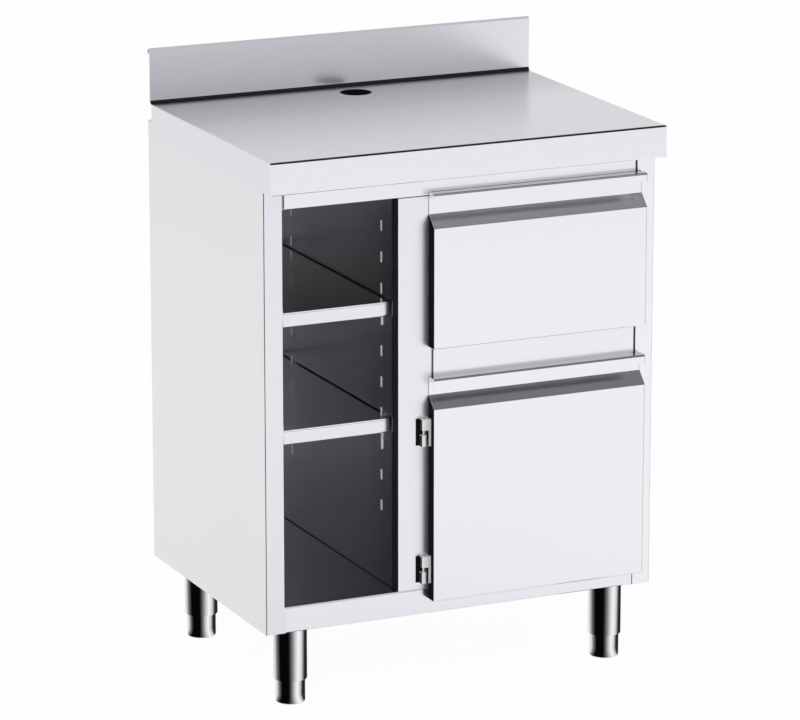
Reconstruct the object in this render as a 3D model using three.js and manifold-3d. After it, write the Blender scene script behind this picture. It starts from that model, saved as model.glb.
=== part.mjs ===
// Waiter service station in folded stainless steel sheet: worktop with upstand, open bay with shelves,
// drawer and door with folded grips, and levelling feet. Millimetres, +Z up, the front faces -Y.
// The origin is on the floor, in the middle of the width and of the depth.
import * as THREE from "three";
import { mergeVertices } from "three/addons/utils/BufferGeometryUtils.js";
import Module from "manifold-3d";

const wasm = await Module();
wasm.setup();

// Sheet and fits
const SHEET = 1.5;
const BEND = 1.2;
const BEND_STEPS = 3;
const SEAT = 0.3;

// Body
const BODY_WIDTH = 646.4;
const BODY_DEPTH = 455;
const BODY_HEIGHT = 703.5;
const SIDE_REAR_RETURN = 20;
const SIDE_TOP_RETURN = 20;
const BACK_TOP_RETURN = 30;

// Worktop
const FRONT_OVERHANG = 33;
const UPSTAND_SETBACK = 15.5;
const BOARD_HEIGHT = 25.4;
const APRON_HEIGHT = 50;
const APRON_RETURN = 14;
const UPSTAND_HEIGHT = 86;
const UPSTAND_BEND = 5;
const UPSTAND_FOLD = 8;
const UPSTAND_HEM = 9;
const CABLE_HOLE_RADIUS = 25;
const CABLE_HOLE_FROM_UPSTAND = 50;
const CABLE_HOLE_STEPS = 24;

// Front frame
const STILE_WIDTH = 31;
const FRAME_RETURN = 18;
const BAY_WIDTH = 185.2;
const MID_STILE_WIDTH = 57;
const TOP_RAIL_HEIGHT = 52.5;
const MID_RAIL_HEIGHT = 68;
const BOTTOM_RAIL_HEIGHT = 40.5;
const DRAWER_OPENING_HEIGHT = 222;
const RAIL_GROOVE = 2.5;
const RAIL_LUG_SETBACK = 3.5;
const RAIL_LUG_LENGTH = 4;
const TRAY_RETURN = 12;

// Partition walls and slotted uprights
const WALL_FRONT_RETURN = 12;
const WALL_REAR_RETURN = 20;
const UPRIGHT_WIDTH = 30;
const UPRIGHT_DEPTH = 10;
const UPRIGHT_END_GAP = 4;
const SLOT_COUNT = 10;
const SLOT_PITCH = 48.4;
const SLOT_LENGTH = 17;
const SLOT_WIDTH = 7;
const SLOT_BELOW_TOP_RAIL = 44.4;
const SLOTS_FROM_FRONT = 59;
const SLOTS_FROM_REAR = 54;

// Shelves and their clips
const SHELF_LIP = 22.5;
const SHELF_LIP_RETURN = 10;
const SHELF_SETBACK = 22;
const SHELF_REAR_GAP = 5;
const SHELF_SIDE_GAP = 2.5;
const UPPER_SHELF_HEIGHT = 448.8;
const LOWER_SHELF_HEIGHT = 268.3;
const CLIP_WIDTH = 6.2;
const CLIP_LEDGE = 14;
const CLIP_HOOK = 9;

// Drawer and door fronts
const FRONT_PROJECTION = 20.4;
const FRONT_GAP = 0.8;
const FRONT_LAP_LEFT = 6;
const FRONT_LAP_RIGHT = 7.8;
const DRAWER_LAP_TOP = 5.8;
const DRAWER_LAP_BOTTOM = 10.3;
const DOOR_LAP_TOP = 11.5;
const DOOR_LAP_BOTTOM = 16.7;
const GRIP_LIP = 13;
const GRIP_SLOPE_RISE = 18.5;
const DRAWER_GRIP_HEIGHT = 52.3;
const DOOR_GRIP_HEIGHT = 46.7;
const PAN_FLANGE = 8;

// Drawer box and telescopic runners
const BOX_HEIGHT = 150;
const BOX_DEPTH = 400;
const BOX_ABOVE_RAIL = 14;
const BOX_HEM = 8;
const RUNNER_SHEET = 1.2;
const RUNNER_PLAY = 0.6;
const RUNNER_HEIGHT = 45;
const RUNNER_THICKNESS = 13;
const RUNNER_LENGTH = 400;
const RUNNER_SETBACK = 5;
const RUNNER_ABOVE_BOX = 48;
const RUNNER_FLANGE = 8.5;
const BRACKET_HEIGHT = 60;

// Door hinges and catch
const HINGE_HEIGHT = 42;
const KNUCKLE_RADIUS = 5;
const KNUCKLE_HEIGHT = 17;
const HINGE_STEPS = 32;
const PIN_RADIUS = 2.1;
const PIN_CLEARANCE = 0.08;
const PIN_CAP = 2;
const LEAF_THICKNESS = 4;
const HINGE_FROM_EDGE = 11;
const HINGE_FROM_FRAME = 5.5;
const HINGE_BELOW_FACE_TOP = 16.7;
const HINGE_ABOVE_BOTTOM = 27.6;
const CATCH_WIDTH = 40;
const CATCH_HEIGHT = 13;
const CATCH_DEPTH = 14;
const CATCH_FROM_STILE = 18;

// Legs and feet
const LEG_HEIGHT = 123;
const LEG_RADIUS = 25.6;
const LEG_BEVEL = 1.5;
const LEG_FLANGE_RADIUS = 30;
const LEG_FLANGE = 3;
const LEG_STEPS = 40;
const LEG_FROM_SIDE = 56.3;
const LEG_FROM_FRONT = 41.9;
const LEG_FROM_REAR = 58.8;
const FOOT_RADIUS = 22.5;
const FOOT_CLEARANCE = 0.4;
const FOOT_SHOWN = 37;
const FOOT_INSERT = 55;
const FOOT_EDGE = 2.5;

// Places across the width
const BODY_LEFT = -BODY_WIDTH / 2;
const BAY_LEFT = BODY_LEFT + STILE_WIDTH;
const BAY_RIGHT = BAY_LEFT + BAY_WIDTH;
const OPENING_LEFT = BAY_RIGHT + MID_STILE_WIDTH;
const OPENING_RIGHT = -BODY_LEFT - STILE_WIDTH;
const SIDE_INNER = -BODY_LEFT - SHEET - SEAT;
const TOP_HALF = -BODY_LEFT + SEAT + SHEET;
const UPRIGHT_FACE = UPRIGHT_DEPTH - SIDE_INNER;
const FRONT_LEFT = OPENING_LEFT - FRONT_LAP_LEFT;
const FRONT_RIGHT = OPENING_RIGHT + FRONT_LAP_RIGHT;

// Places along the depth
const TOP_FRONT = -(FRONT_OVERHANG + BODY_DEPTH) / 2;
const FRAME = TOP_FRONT + FRONT_OVERHANG;
const BODY_REAR = FRAME + BODY_DEPTH;
const UPSTAND_FACE = BODY_REAR - UPSTAND_SETBACK;
const BACK_FACE = BODY_REAR - SHEET - SEAT;
const INSIDE_REAR = BACK_FACE - SHEET - SEAT;
const BEHIND_FRAME = FRAME + FRAME_RETURN + SEAT;
const FRONT_FACE = FRAME - FRONT_PROJECTION;
const FRONT_BACK = FRAME - FRONT_GAP;
const SLOT_ROWS = [FRAME + SLOTS_FROM_FRONT, BODY_REAR - SLOTS_FROM_REAR];

// Places up the height
const BODY_TOP = LEG_HEIGHT + BODY_HEIGHT;
const BAY_FLOOR = LEG_HEIGHT + BOTTOM_RAIL_HEIGHT;
const TOP_RAIL_BOTTOM = BODY_TOP - TOP_RAIL_HEIGHT;
const MID_RAIL_TOP = TOP_RAIL_BOTTOM - DRAWER_OPENING_HEIGHT;
const MID_RAIL_BOTTOM = MID_RAIL_TOP - MID_RAIL_HEIGHT;
const WORKTOP = BODY_TOP + SEAT + BOARD_HEIGHT + SEAT + SHEET;
const BOX_BOTTOM = MID_RAIL_TOP + BOX_ABOVE_RAIL;
const RUNNER_MIDDLE = BOX_BOTTOM + RUNNER_ABOVE_BOX;
const FIRST_SLOT = TOP_RAIL_BOTTOM - SLOT_BELOW_TOP_RAIL - SLOT_LENGTH / 2;

// Finishes
const steel = (colour, roughness) =>
  new THREE.MeshStandardMaterial({ color: colour, roughness, metalness: 0.9 });
const finishes = {
  worktop: () => steel(0xc9c9ce, 0.3),
  panel: () => steel(0xe2e2e8, 0.35),
  inside: () => steel(0x8a8a92, 0.3),
  shelf: () => steel(0xdcdce2, 0.3),
  runner: () => steel(0xb4b7bc, 0.4),
  polished: () => steel(0xf2f2f6, 0.06),
  hinge: () => steel(0xd8d8dc, 0.35),
  board: () => new THREE.MeshStandardMaterial({ color: 0xb99a6b, roughness: 0.8, metalness: 0 }),
  magnet: () => new THREE.MeshStandardMaterial({ color: 0x2b2b2e, roughness: 0.6, metalness: 0.1 }),
};

// Solids: joins and cuts
function solidOf(geometry) {
  const bare = geometry.clone();
  bare.deleteAttribute("normal");
  bare.deleteAttribute("uv");
  const merged = mergeVertices(bare, 1e-4);
  const vertProperties = merged.getAttribute("position").array;
  const triVerts = new Uint32Array(merged.index.array);
  return new wasm.Manifold(new wasm.Mesh({ numProp: 3, vertProperties, triVerts }));
}

function geometryOf(solid) {
  const made = solid.getMesh();
  const geometry = new THREE.BufferGeometry();
  geometry.setAttribute("position", new THREE.BufferAttribute(made.vertProperties, 3));
  geometry.setIndex(new THREE.BufferAttribute(made.triVerts, 1));
  geometry.computeVertexNormals();
  return geometry;
}

function join(...geometries) {
  const solids = geometries.map(solidOf);
  return geometryOf(solids.reduce((whole, next) => whole.add(next)));
}

function cut(geometry, ...cutters) {
  const solids = cutters.map(solidOf);
  return geometryOf(solids.reduce((whole, next) => whole.subtract(next), solidOf(geometry)));
}

function keepInside(geometry, envelope) {
  return geometryOf(solidOf(geometry).intersect(solidOf(envelope)));
}

// Folded sheet: an open line of points becomes a strip of sheet with round bends
const point = (a, b) => new THREE.Vector2(a, b);
const directionOf = (from, to) => to.clone().sub(from).normalize();
const rightOf = (direction) => point(direction.y, -direction.x);
const turnBetween = (into, out) => Math.atan2(into.cross(out), into.dot(out));

function offsetLine(points, distance) {
  return points.map((here, index) => {
    const last = points.length - 1;
    const into = index === 0 ? directionOf(here, points[1]) : directionOf(points[index - 1], here);
    const out = index === last ? into : directionOf(here, points[index + 1]);
    const first = rightOf(into);
    const second = rightOf(out);
    const reach = distance / (1 + first.dot(second));
    return here.clone().addScaledVector(first.add(second), reach);
  });
}

function roundedLine(points, radiusAt) {
  const line = [points[0]];
  for (let index = 1; index < points.length - 1; index += 1) {
    const into = directionOf(points[index - 1], points[index]);
    const out = directionOf(points[index], points[index + 1]);
    const turn = turnBetween(into, out);
    const radius = radiusAt(index, turn);
    const reach = radius * Math.tan(Math.abs(turn) / 2);
    const start = points[index].clone().addScaledVector(into, -reach);
    const centre = start.clone().addScaledVector(rightOf(into), -radius * Math.sign(turn));
    for (let step = 0; step <= BEND_STEPS; step += 1) {
      line.push(start.clone().rotateAround(centre, (turn * step) / BEND_STEPS));
    }
  }
  line.push(points[points.length - 1]);
  return line;
}

// side is 1 when the sheet lies to the right of the line and -1 when it lies to the left
function foldedSheet(corners, side = 1, thickness = SHEET, insideRadius = () => BEND) {
  const near = corners.map(([a, b]) => point(a, b));
  const far = offsetLine(near, side * thickness);
  const inner = (index) => insideRadius(index);
  const outer = (index) => insideRadius(index) + thickness;
  const nearLine = roundedLine(near, (i, turn) => (turn * side > 0 ? inner(i) : outer(i)));
  const farLine = roundedLine(far, (i, turn) => (turn * side > 0 ? outer(i) : inner(i)));
  return new THREE.Shape([...nearLine, ...farLine.reverse()]);
}

function outline(corners) {
  return new THREE.Shape(corners.map(([a, b]) => point(a, b)));
}

function slotShape(row, height) {
  const half = SLOT_WIDTH / 2;
  const reach = SLOT_LENGTH / 2;
  return outline([
    [row - half, height - reach],
    [row + half, height - reach],
    [row + half, height + reach],
    [row - half, height + reach],
  ]);
}

// Extrusions: across the width with (y, z) outlines, along the depth with (x, z), up with (x, y)
const AXIS_X = new THREE.Vector3(1, 0, 0);
const AXIS_Y = new THREE.Vector3(0, 1, 0);
const AXIS_Z = new THREE.Vector3(0, 0, 1);
const FORWARD = new THREE.Vector3(0, -1, 0);

function extruded(shape, length, placing) {
  const geometry = new THREE.ExtrudeGeometry(shape, { depth: length, bevelEnabled: false });
  return geometry.applyMatrix4(placing);
}

function alongX(shape, from, to) {
  const placing = new THREE.Matrix4().makeBasis(AXIS_Y, AXIS_Z, AXIS_X).setPosition(from, 0, 0);
  return extruded(shape, to - from, placing);
}

function alongY(shape, from, to) {
  const placing = new THREE.Matrix4().makeBasis(AXIS_X, AXIS_Z, FORWARD).setPosition(0, to, 0);
  return extruded(shape, to - from, placing);
}

function alongZ(shape, from, to) {
  return extruded(shape, to - from, new THREE.Matrix4().makeTranslation(0, 0, from));
}

function block([x0, x1], [y0, y1], [z0, z1]) {
  const geometry = new THREE.BoxGeometry(x1 - x0, y1 - y0, z1 - z0);
  return geometry.translate((x0 + x1) / 2, (y0 + y1) / 2, (z0 + z1) / 2);
}

function uprightCylinder(radius, from, to, steps) {
  const geometry = new THREE.CylinderGeometry(radius, radius, to - from, steps);
  return geometry.rotateX(Math.PI / 2).translate(0, 0, (from + to) / 2);
}

function turned(profile, steps) {
  const line = profile.map(([radius, height]) => point(radius, height));
  return new THREE.LatheGeometry(line, steps).rotateX(Math.PI / 2);
}

// Worktop: one folded lid with its upstand, rounded side edges and a cable hole
function worktopLid() {
  const apronBottom = WORKTOP - APRON_HEIGHT;
  const upstandTop = WORKTOP + UPSTAND_HEIGHT;
  const bends = { 3: UPSTAND_BEND };
  const profile = foldedSheet(
    [
      [TOP_FRONT + APRON_RETURN, apronBottom],
      [TOP_FRONT, apronBottom],
      [TOP_FRONT, WORKTOP],
      [UPSTAND_FACE, WORKTOP],
      [UPSTAND_FACE, upstandTop],
      [UPSTAND_FACE + UPSTAND_FOLD, upstandTop],
      [UPSTAND_FACE + UPSTAND_FOLD, upstandTop - UPSTAND_HEM],
    ],
    1,
    SHEET,
    (index) => bends[index] ?? BEND,
  );
  const lidRear = UPSTAND_FACE - UPSTAND_BEND;
  const edge = [
    [-TOP_HALF, apronBottom],
    [-TOP_HALF, WORKTOP],
    [TOP_HALF, WORKTOP],
    [TOP_HALF, apronBottom],
  ];
  const corners = edge.map(([x, z]) => point(x, z));
  const roundedEdge = new THREE.Shape(roundedLine(corners, () => BEND + SHEET));
  const rear = [lidRear, UPSTAND_FACE + UPSTAND_FOLD + SHEET];
  const rearSpace = block([-TOP_HALF, TOP_HALF], rear, [apronBottom, upstandTop]);
  const envelope = join(alongY(roundedEdge, TOP_FRONT, lidRear), rearSpace);
  const sheet = keepInside(alongX(profile, -TOP_HALF, TOP_HALF), envelope);
  const sides = alongY(foldedSheet(edge), TOP_FRONT, lidRear);
  const hole = uprightCylinder(CABLE_HOLE_RADIUS, apronBottom, upstandTop, CABLE_HOLE_STEPS);
  hole.translate(0, UPSTAND_FACE - CABLE_HOLE_FROM_UPSTAND, 0);
  return cut(join(sheet, sides), hole);
}

// A full-width front board and two rear boards, which leave the cable hole's strip free
function worktopBoards() {
  const half = TOP_HALF - SHEET - BEND;
  const from = TOP_FRONT + SHEET + BEND;
  const to = UPSTAND_FACE - UPSTAND_BEND;
  const holeFront = UPSTAND_FACE - CABLE_HOLE_FROM_UPSTAND - CABLE_HOLE_RADIUS;
  const heights = [BODY_TOP + SEAT, WORKTOP - SHEET - SEAT];
  return {
    front: block([-half, half], [from, holeFront - SEAT], heights),
    rear_left: block([-half, -CABLE_HOLE_RADIUS], [holeFront, to], heights),
    rear_right: block([CABLE_HOLE_RADIUS, half], [holeFront, to], heights),
  };
}

// Body panels
function leftSide() {
  const plan = foldedSheet([
    [BAY_LEFT, FRAME + FRAME_RETURN],
    [BAY_LEFT, FRAME],
    [BODY_LEFT, FRAME],
    [BODY_LEFT, BODY_REAR],
    [BODY_LEFT + SIDE_REAR_RETURN, BODY_REAR],
  ]);
  const top = foldedSheet([
    [BODY_LEFT, BODY_TOP - SIDE_TOP_RETURN],
    [BODY_LEFT, BODY_TOP],
    [BODY_LEFT + SIDE_TOP_RETURN, BODY_TOP],
  ]);
  const wall = alongZ(plan, LEG_HEIGHT, BODY_TOP - SHEET - BEND);
  return join(wall, alongY(top, FRAME + SHEET, BODY_REAR - SHEET));
}

function backPanel() {
  const edge = SIDE_INNER - BEND;
  const thickness = [BACK_FACE - SHEET, BACK_FACE];
  const plate = block([-edge, edge], thickness, [LEG_HEIGHT, BODY_TOP - SIDE_TOP_RETURN]);
  const fold = foldedSheet(
    [
      [BACK_FACE, BODY_TOP - BACK_TOP_RETURN],
      [BACK_FACE, BODY_TOP - SEAT],
      [BACK_FACE - BACK_TOP_RETURN, BODY_TOP - SEAT],
    ],
    -1,
  );
  const half = -BODY_LEFT - SIDE_TOP_RETURN - SEAT;
  return join(plate, alongX(fold, -half, half));
}

function bottomTray() {
  const half = OPENING_RIGHT - SEAT;
  const front = foldedSheet([
    [FRAME + TRAY_RETURN, LEG_HEIGHT],
    [FRAME, LEG_HEIGHT],
    [FRAME, BAY_FLOOR],
    [INSIDE_REAR, BAY_FLOOR],
    [INSIDE_REAR, LEG_HEIGHT],
  ]);
  const wide = foldedSheet([
    [-SIDE_INNER, LEG_HEIGHT],
    [-SIDE_INNER, BAY_FLOOR],
    [SIDE_INNER, BAY_FLOOR],
    [SIDE_INNER, LEG_HEIGHT],
  ]);
  return join(alongX(front, -half, half), alongY(wide, BEHIND_FRAME, INSIDE_REAR));
}

// Rails: a channel that ends a groove short of the stiles, with a lug behind each groove
function railLugs(left, right, bottom, top) {
  const depth = [FRAME + RAIL_LUG_SETBACK, FRAME + FRAME_RETURN];
  const height = [bottom, top];
  return [
    block([left + SEAT, left + RAIL_LUG_LENGTH], depth, height),
    block([right - RAIL_LUG_LENGTH, right - SEAT], depth, height),
  ];
}

function rail(left, right, bottom, top) {
  const section = foldedSheet([
    [FRAME + FRAME_RETURN, bottom],
    [FRAME, bottom],
    [FRAME, top],
    [FRAME + FRAME_RETURN, top],
  ]);
  const channel = alongX(section, left + RAIL_GROOVE, right - RAIL_GROOVE);
  return join(channel, ...railLugs(left, right, bottom, top));
}

function midStile() {
  const plan = foldedSheet([
    [OPENING_LEFT, FRAME + FRAME_RETURN],
    [OPENING_LEFT, FRAME],
    [BAY_RIGHT, FRAME],
    [BAY_RIGHT, FRAME + FRAME_RETURN],
  ]);
  return alongZ(plan, BAY_FLOOR + SEAT, TOP_RAIL_BOTTOM - SEAT);
}

// Walls of the hollow partition: inward is 1 when the folds turn to +X and -1 when they turn to -X
function partitionWall(face, inward) {
  const plan = foldedSheet(
    [
      [face + inward * WALL_FRONT_RETURN, BEHIND_FRAME],
      [face, BEHIND_FRAME],
      [face, INSIDE_REAR],
      [face + inward * WALL_REAR_RETURN, INSIDE_REAR],
    ],
    inward,
  );
  return alongZ(plan, BAY_FLOOR + SEAT, BODY_TOP - SEAT - SHEET - BEND);
}

function slotHeight(index) {
  return FIRST_SLOT - index * SLOT_PITCH;
}

function slotCutters(face, row) {
  const reach = 2 * SHEET;
  const cutters = [];
  for (let index = 0; index < SLOT_COUNT; index += 1) {
    cutters.push(alongX(slotShape(row, slotHeight(index)), face - reach, face + reach));
  }
  return cutters;
}

function slottedWall() {
  const cutters = SLOT_ROWS.flatMap((row) => slotCutters(BAY_RIGHT, row));
  return cut(partitionWall(BAY_RIGHT, 1), ...cutters);
}

function slottedUpright(row) {
  const plan = foldedSheet(
    [
      [-SIDE_INNER, row - UPRIGHT_WIDTH / 2],
      [UPRIGHT_FACE, row - UPRIGHT_WIDTH / 2],
      [UPRIGHT_FACE, row + UPRIGHT_WIDTH / 2],
      [-SIDE_INNER, row + UPRIGHT_WIDTH / 2],
    ],
    -1,
  );
  const channel = alongZ(plan, BAY_FLOOR + SEAT, TOP_RAIL_BOTTOM - UPRIGHT_END_GAP);
  return cut(channel, ...slotCutters(UPRIGHT_FACE, row));
}

// Shelves: folded down on all sides, the front lip turned in below; the top face is at height 0
const SHELF_LEFT = UPRIGHT_FACE + SHELF_SIDE_GAP;
const SHELF_RIGHT = BAY_RIGHT - SHELF_SIDE_GAP;
const SHELF_FRONT = FRAME + SHELF_SETBACK;
const SHELF_REAR = INSIDE_REAR - SHELF_REAR_GAP;

function shelf() {
  const front = foldedSheet([
    [SHELF_FRONT + SHELF_LIP_RETURN, -SHELF_LIP],
    [SHELF_FRONT, -SHELF_LIP],
    [SHELF_FRONT, 0],
    [SHELF_REAR, 0],
    [SHELF_REAR, -SHELF_LIP],
  ]);
  const across = foldedSheet([
    [SHELF_LEFT, -SHELF_LIP],
    [SHELF_LEFT, 0],
    [SHELF_RIGHT, 0],
    [SHELF_RIGHT, -SHELF_LIP],
  ]);
  const corners = [point(SHELF_LEFT, -SHELF_LIP), point(SHELF_LEFT, 0)];
  corners.push(point(SHELF_RIGHT, 0), point(SHELF_RIGHT, -SHELF_LIP));
  const roundedEdge = new THREE.Shape(roundedLine(corners, () => BEND + SHEET));
  const sheet = alongX(front, SHELF_LEFT, SHELF_RIGHT);
  const envelope = alongY(roundedEdge, SHELF_FRONT, SHELF_REAR);
  return join(keepInside(sheet, envelope), alongY(across, SHELF_FRONT, SHELF_REAR));
}

// A clip hooks over the lower edge of the slot below its shelf; inward points from the wall to the bay
function clip(inward, shelfTop) {
  const support = shelfTop - SHELF_LIP - SEAT;
  const below = Math.ceil((FIRST_SLOT + SLOT_LENGTH / 2 - support) / SLOT_PITCH);
  const edge = slotHeight(Math.min(Math.max(below, 0), SLOT_COUNT - 1)) - SLOT_LENGTH / 2 + SEAT;
  const hook = -inward * (2 * SHEET + SEAT);
  const leg = inward * SEAT;
  const section = foldedSheet(
    [
      [hook, edge - CLIP_HOOK],
      [hook, edge + SHEET],
      [leg, edge + SHEET],
      [leg, support],
      [leg + inward * CLIP_LEDGE, support],
    ],
    inward,
    SHEET,
    () => SEAT,
  );
  return alongY(section, -CLIP_WIDTH / 2, CLIP_WIDTH / 2);
}

// Fronts: face, slope, grip back, ledge and lip folded from one sheet, closed by end plates
function frontSkin(bottom, top, gripHeight) {
  const faceTop = top - gripHeight;
  const slopeTop = faceTop + GRIP_SLOPE_RISE;
  const gripBack = FRONT_BACK - SHEET;
  const section = foldedSheet([
    [FRONT_BACK, bottom],
    [FRONT_FACE, bottom],
    [FRONT_FACE, faceTop],
    [gripBack, slopeTop],
    [gripBack, top - SHEET],
    [FRONT_FACE + SHEET, top - SHEET],
    [FRONT_FACE + SHEET, top - GRIP_LIP],
  ]);
  const corners = [point(FRONT_BACK, bottom), point(FRONT_FACE, bottom), point(FRONT_FACE, faceTop)];
  corners.push(point(gripBack, slopeTop));
  const end = roundedLine(corners, () => BEND + SHEET);
  end.push(point(FRONT_BACK, slopeTop));
  const endPlate = new THREE.Shape(end);
  return join(
    alongX(section, FRONT_LEFT, FRONT_RIGHT),
    alongX(endPlate, FRONT_LEFT, FRONT_LEFT + SHEET),
    alongX(endPlate, FRONT_RIGHT - SHEET, FRONT_RIGHT),
  );
}

// The pan closes a front from behind: its upper flange leans along the underside of the slope
function frontPan(bottom, top, gripHeight) {
  const low = bottom + SHEET + SEAT;
  const lean = GRIP_SLOPE_RISE / (FRONT_BACK - SHEET - FRONT_FACE);
  const apart = (SHEET + SEAT) * Math.hypot(1, lean);
  const high = top - gripHeight + GRIP_SLOPE_RISE + lean * SHEET - apart;
  const section = foldedSheet(
    [
      [FRONT_BACK - PAN_FLANGE, low],
      [FRONT_BACK, low],
      [FRONT_BACK, high],
      [FRONT_BACK - PAN_FLANGE, high - lean * PAN_FLANGE],
    ],
    -1,
  );
  return alongX(section, FRONT_LEFT + SHEET + SEAT, FRONT_RIGHT - SHEET - SEAT);
}

// Drawer box: folded floor and sides with hemmed top edges, front and back walls let in
function drawerBox() {
  const left = OPENING_LEFT + RUNNER_THICKNESS + SEAT;
  const right = OPENING_RIGHT - RUNNER_THICKNESS - SEAT;
  const top = BOX_BOTTOM + BOX_HEIGHT;
  const front = FRONT_BACK + SEAT;
  const rear = front + BOX_DEPTH;
  const section = foldedSheet(
    [
      [left + BOX_HEM, top],
      [left, top],
      [left, BOX_BOTTOM],
      [right, BOX_BOTTOM],
      [right, top],
      [right - BOX_HEM, top],
    ],
    -1,
  );
  const wall = new THREE.Shape(
    roundedLine(
      [point(left, top), point(left, BOX_BOTTOM), point(right, BOX_BOTTOM), point(right, top)],
      () => BEND + SHEET,
    ),
  );
  const walls = [alongY(wall, front, front + SHEET), alongY(wall, rear - SHEET, rear)];
  return join(alongY(section, front, rear), ...walls);
}

// Runner members nest in each other; x runs from the wall towards the drawer, z from the middle
function runnerChannel(web, flangeEnd, height) {
  const side = Math.sign(flangeEnd - web);
  const section = foldedSheet(
    [
      [flangeEnd, height / 2],
      [web, height / 2],
      [web, -height / 2],
      [flangeEnd, -height / 2],
    ],
    -side,
    RUNNER_SHEET,
    () => RUNNER_SHEET / 2,
  );
  const start = FRAME + RUNNER_SETBACK;
  return alongY(section, start, start + RUNNER_LENGTH);
}

const MIDDLE_HEIGHT = RUNNER_HEIGHT - 2 * (RUNNER_SHEET + RUNNER_PLAY);
const INNER_HEIGHT = MIDDLE_HEIGHT - 2 * (RUNNER_SHEET + RUNNER_PLAY);
const runnerMembers = {
  cabinet: () => runnerChannel(SEAT, RUNNER_FLANGE, RUNNER_HEIGHT),
  middle: () => {
    const web = SEAT + RUNNER_SHEET + RUNNER_PLAY;
    return runnerChannel(web, web + RUNNER_FLANGE, MIDDLE_HEIGHT);
  },
  drawer: () => runnerChannel(RUNNER_THICKNESS, RUNNER_THICKNESS - RUNNER_FLANGE, INNER_HEIGHT),
};

function runnerBracket() {
  const half = BRACKET_HEIGHT / 2;
  const section = foldedSheet(
    [
      [SIDE_INNER, RUNNER_MIDDLE + half],
      [OPENING_RIGHT, RUNNER_MIDDLE + half],
      [OPENING_RIGHT, RUNNER_MIDDLE - half],
      [SIDE_INNER, RUNNER_MIDDLE - half],
    ],
    -1,
  );
  return alongY(section, BEHIND_FRAME, INSIDE_REAR - SEAT);
}

// Hinges: the pin is the axis at x = y = 0, height 0 is the lower end
function hingeFramePart() {
  const knuckle = uprightCylinder(KNUCKLE_RADIUS, 0, KNUCKLE_HEIGHT, HINGE_STEPS);
  const base = block([-KNUCKLE_RADIUS, KNUCKLE_RADIUS], [0, HINGE_FROM_FRAME - SEAT], [0, KNUCKLE_HEIGHT]);
  const pinTop = HINGE_HEIGHT - PIN_CAP - SEAT;
  const pin = uprightCylinder(PIN_RADIUS, KNUCKLE_HEIGHT / 2, pinTop, HINGE_STEPS);
  return join(knuckle, base, pin);
}

function hingeDoorPart() {
  const low = HINGE_HEIGHT - KNUCKLE_HEIGHT;
  const depth = [-KNUCKLE_RADIUS, KNUCKLE_RADIUS];
  const edge = HINGE_FROM_EDGE - SEAT;
  const knuckle = uprightCylinder(KNUCKLE_RADIUS, low, HINGE_HEIGHT, HINGE_STEPS);
  const arm = block([0, edge], depth, [low, HINGE_HEIGHT]);
  const leaf = block([edge - LEAF_THICKNESS, edge], depth, [0, HINGE_HEIGHT]);
  const bore = uprightCylinder(PIN_RADIUS + PIN_CLEARANCE, 0, HINGE_HEIGHT - PIN_CAP, HINGE_STEPS);
  return cut(join(knuckle, arm, leaf), bore);
}

// Legs and feet stand at x = y = 0 with the floor at height 0
function leg() {
  const top = BAY_FLOOR - SHEET - SEAT;
  const bore = FOOT_RADIUS + FOOT_CLEARANCE;
  return turned(
    [
      [0, top],
      [LEG_FLANGE_RADIUS, top],
      [LEG_FLANGE_RADIUS, top - LEG_FLANGE],
      [LEG_RADIUS, top - LEG_FLANGE],
      [LEG_RADIUS, FOOT_SHOWN + LEG_BEVEL],
      [LEG_RADIUS - LEG_BEVEL, FOOT_SHOWN],
      [bore, FOOT_SHOWN],
      [bore, top - LEG_FLANGE],
      [0, top - LEG_FLANGE],
    ].reverse(),
    LEG_STEPS,
  );
}

function foot() {
  const top = FOOT_SHOWN + FOOT_INSERT;
  const rise = FOOT_EDGE * 0.3;
  return turned(
    [
      [0, 0],
      [FOOT_RADIUS - FOOT_EDGE, 0],
      [FOOT_RADIUS - rise, rise],
      [FOOT_RADIUS, FOOT_EDGE],
      [FOOT_RADIUS, top],
      [0, top],
    ],
    LEG_STEPS,
  );
}

// Assembly
const station = new THREE.Group();

function place(parent, name, geometry, finish, position = [0, 0, 0]) {
  const mesh = new THREE.Mesh(geometry, finishes[finish]());
  mesh.name = name;
  mesh.position.set(...position);
  parent.add(mesh);
  return mesh;
}

place(station, "worktop", worktopLid(), "worktop");
for (const [where, board] of Object.entries(worktopBoards())) {
  place(station, `worktop_board_${where}`, board, "board");
}
place(station, "side_left", leftSide(), "panel");
place(station, "side_right", leftSide(), "panel").scale.x = -1;
place(station, "back_panel", backPanel(), "panel");
place(station, "bottom_tray", bottomTray(), "panel");
place(station, "top_rail", rail(BAY_LEFT, OPENING_RIGHT, TOP_RAIL_BOTTOM, BODY_TOP), "panel");
place(station, "mid_stile", midStile(), "panel");
place(station, "mid_rail", rail(OPENING_LEFT, OPENING_RIGHT, MID_RAIL_BOTTOM, MID_RAIL_TOP), "panel");
place(station, "partition_bay", slottedWall(), "inside");
place(station, "partition_door", partitionWall(OPENING_LEFT, -1), "inside");
place(station, "upright_front", slottedUpright(SLOT_ROWS[0]), "inside");
place(station, "upright_rear", slottedUpright(SLOT_ROWS[1]), "inside");

// Bay: each shelf on four clips
const shelves = { upper: UPPER_SHELF_HEIGHT, lower: LOWER_SHELF_HEIGHT };
for (const [level, height] of Object.entries(shelves)) {
  const top = BAY_FLOOR + height;
  place(station, `shelf_${level}`, shelf(), "shelf", [0, 0, top]);
  SLOT_ROWS.forEach((row, index) => {
    const end = index === 0 ? "front" : "rear";
    place(station, `clip_${level}_${end}_left`, clip(1, top), "hinge", [UPRIGHT_FACE, row, 0]);
    place(station, `clip_${level}_${end}_right`, clip(-1, top), "hinge", [BAY_RIGHT, row, 0]);
  });
}

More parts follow.
